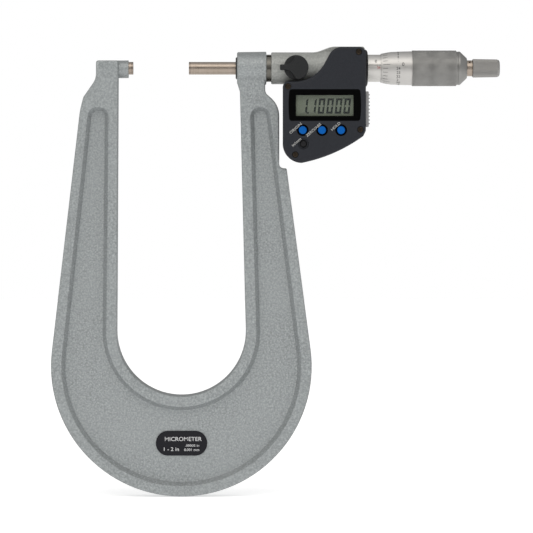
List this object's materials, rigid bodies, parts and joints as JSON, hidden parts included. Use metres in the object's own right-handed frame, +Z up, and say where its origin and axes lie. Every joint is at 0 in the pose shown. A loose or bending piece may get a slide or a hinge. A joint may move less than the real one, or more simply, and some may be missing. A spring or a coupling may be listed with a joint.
{
  "type": "deep throat outside micrometer",
  "caption": "Electronic outside micrometer on a tall U-shaped frame, with a digital display head, spindle lock, graduated thimble and ratchet stop, for measuring sheet far from its edge.",
  "frame": {"origin": "centre of the anvil's measuring face", "axes": "+X along the spindle's axis, from the anvil towards the ratchet; +Z up, away from the bow of the frame; the display faces -Y"},
  "size_m": [0.2256, 0.0249, 0.2264],
  "materials": {
    "frame_paint": "hammered grey paint",
    "head_paint": "hammered grey paint",
    "cover_plastic": "fine-grained charcoal",
    "bezel_black": "black",
    "clear_window": "clear",
    "lcd": "grey-green liquid crystal",
    "button_blue": "blue, satin",
    "button_dark": "dark grey",
    "lever_plastic": "charcoal",
    "collar_black": "black",
    "port_cap_grey": "grey",
    "cap_plastic": "charcoal",
    "black_plastic": "black",
    "black_rubber": "matt",
    "plate_black": "black with pale print",
    "ground_steel": "ground",
    "satin_steel": "satin",
    "screw_steel": "dark",
    "spring_steel": "bright",
    "battery_steel": "bright",
    "carbide": "lapped carbide",
    "thimble_chrome": "satin chrome",
    "sleeve_chrome": "satin chrome",
    "ratchet_chrome": "satin chrome",
    "contact_brass": "plain",
    "board": "green laminate"
  },
  "bodies": {
    "root": {"frame": "frame_paint", "anvil": "ground_steel", "anvil_tip": "carbide", "name_plate": "plate_black", "head_stem": "ground_steel", "nose_seal": "black_rubber", "stem_lock_ring": "satin_steel", "head_body": "head_paint", "front_cover": "cover_plastic", "cover_gasket": "black_rubber", "cover_screws": "screw_steel", "display_bezel": "bezel_black", "display_lens": "clear_window", "lcd_panel": "lcd", "lcd_connector": "black_rubber", "circuit_board": "board", "processor_chip": "black_plastic", "tact_switches": "black_plastic", "button_pad": "black_rubber", "battery": "battery_steel", "battery_contact": "contact_brass", "data_socket": "black_plastic", "data_pins": "contact_brass", "lever_washer": "black_plastic", "encoder_stator": "board", "rotor_bush": "contact_brass", "encoder_cable": "black_plastic", "inner_barrel": "ground_steel", "adjusting_nut": "satin_steel", "collar_ring": "collar_black"},
    "encoder_rotor": {"encoder_rotor": "satin_steel", "rotor_key": "ground_steel"},
    "spindle": {"spindle": "ground_steel", "spindle_tip": "carbide", "thimble": "thimble_chrome", "ratchet_base": "ground_steel", "ratchet_clutch_plate": "ground_steel", "ratchet_screw": "screw_steel", "ratchet_spring": "spring_steel"},
    "ratchet_knob": {"ratchet_knob": "ratchet_chrome"},
    "lock_lever": {"lock_lever": "lever_plastic", "lock_cam_pin": "ground_steel"},
    "lock_plunger": {"lock_plunger": "contact_brass"},
    "button_origin": {"button_origin": "button_blue"},
    "button_zero": {"button_zero": "button_blue"},
    "button_hold": {"button_hold": "button_blue"},
    "button_unit": {"button_unit": "button_dark"},
    "battery_cap_seal": {"battery_cap_seal": "black_rubber"},
    "battery_cap": {"battery_cap": "cap_plastic"},
    "data_port_cap": {"data_port_cap": "port_cap_grey"},
    "sleeve": {"sleeve": "sleeve_chrome"}
  },
  "joints": [
    {"name": "thimble_turn", "type": "hinge", "parent": "root", "child": "encoder_rotor", "pos_m": [0.1025, 0, 0], "axis": [1, 0, 0], "range_deg": [-1440, 12960]},
    {"name": "spindle_travel", "type": "slide", "parent": "encoder_rotor", "child": "spindle", "axis": [1, 0, 0], "range_m": [-0.00254, 0.02286]},
    {"name": "ratchet_turn", "type": "hinge", "parent": "spindle", "child": "ratchet_knob", "pos_m": [0.177, 0, 0], "axis": [1, 0, 0], "continuous": true},
    {"name": "lock_lever_turn", "type": "hinge", "parent": "root", "child": "lock_lever", "pos_m": [0.0816, -0.0094, 0.0004], "axis": [0, 1, 0], "range_deg": [0, 60]},
    {"name": "lock_plunger_slide", "type": "slide", "parent": "root", "child": "lock_plunger", "axis": [0, 1, 0], "range_m": [0, 0.0002]},
    {"name": "button_origin_press", "type": "slide", "parent": "root", "child": "button_origin", "axis": [0, 1, 0], "range_m": [0, 0.0006], "stiffness_N_per_m": 1500},
    {"name": "button_zero_press", "type": "slide", "parent": "root", "child": "button_zero", "axis": [0, 1, 0], "range_m": [0, 0.0006], "stiffness_N_per_m": 1500},
    {"name": "button_hold_press", "type": "slide", "parent": "root", "child": "button_hold", "axis": [0, 1, 0], "range_m": [0, 0.0006], "stiffness_N_per_m": 1500},
    {"name": "button_unit_press", "type": "slide", "parent": "root", "child": "button_unit", "axis": [0, 1, 0], "range_m": [0, 0.0006], "stiffness_N_per_m": 1500},
    {"name": "battery_cap_travel", "type": "slide", "parent": "root", "child": "battery_cap_seal", "axis": [0, 1, 0], "range_m": [0, 0.00225]},
    {"name": "battery_cap_turn", "type": "hinge", "parent": "battery_cap_seal", "child": "battery_cap", "pos_m": [0.096, 0.009, -0.027], "axis": [0, 1, 0], "range_deg": [0, 1080]},
    {"name": "data_port_cap_pull", "type": "slide", "parent": "root", "child": "data_port_cap", "axis": [1, 0, 0], "range_m": [0, 0.008]},
    {"name": "sleeve_zero_turn", "type": "hinge", "parent": "root", "child": "sleeve", "pos_m": [0.1326, 0, 0], "axis": [1, 0, 0], "range_deg": [-10, 10]}
  ],
  "couplings": [
    {"joint": "thimble_turn", "follows": "spindle_travel", "rad_per_m": 9894.8},
    {"joint": "lock_lever_turn", "follows": "lock_plunger_slide", "rad_per_m": 5236},
    {"joint": "battery_cap_turn", "follows": "battery_cap_travel", "rad_per_m": 8377.6}
  ]
}
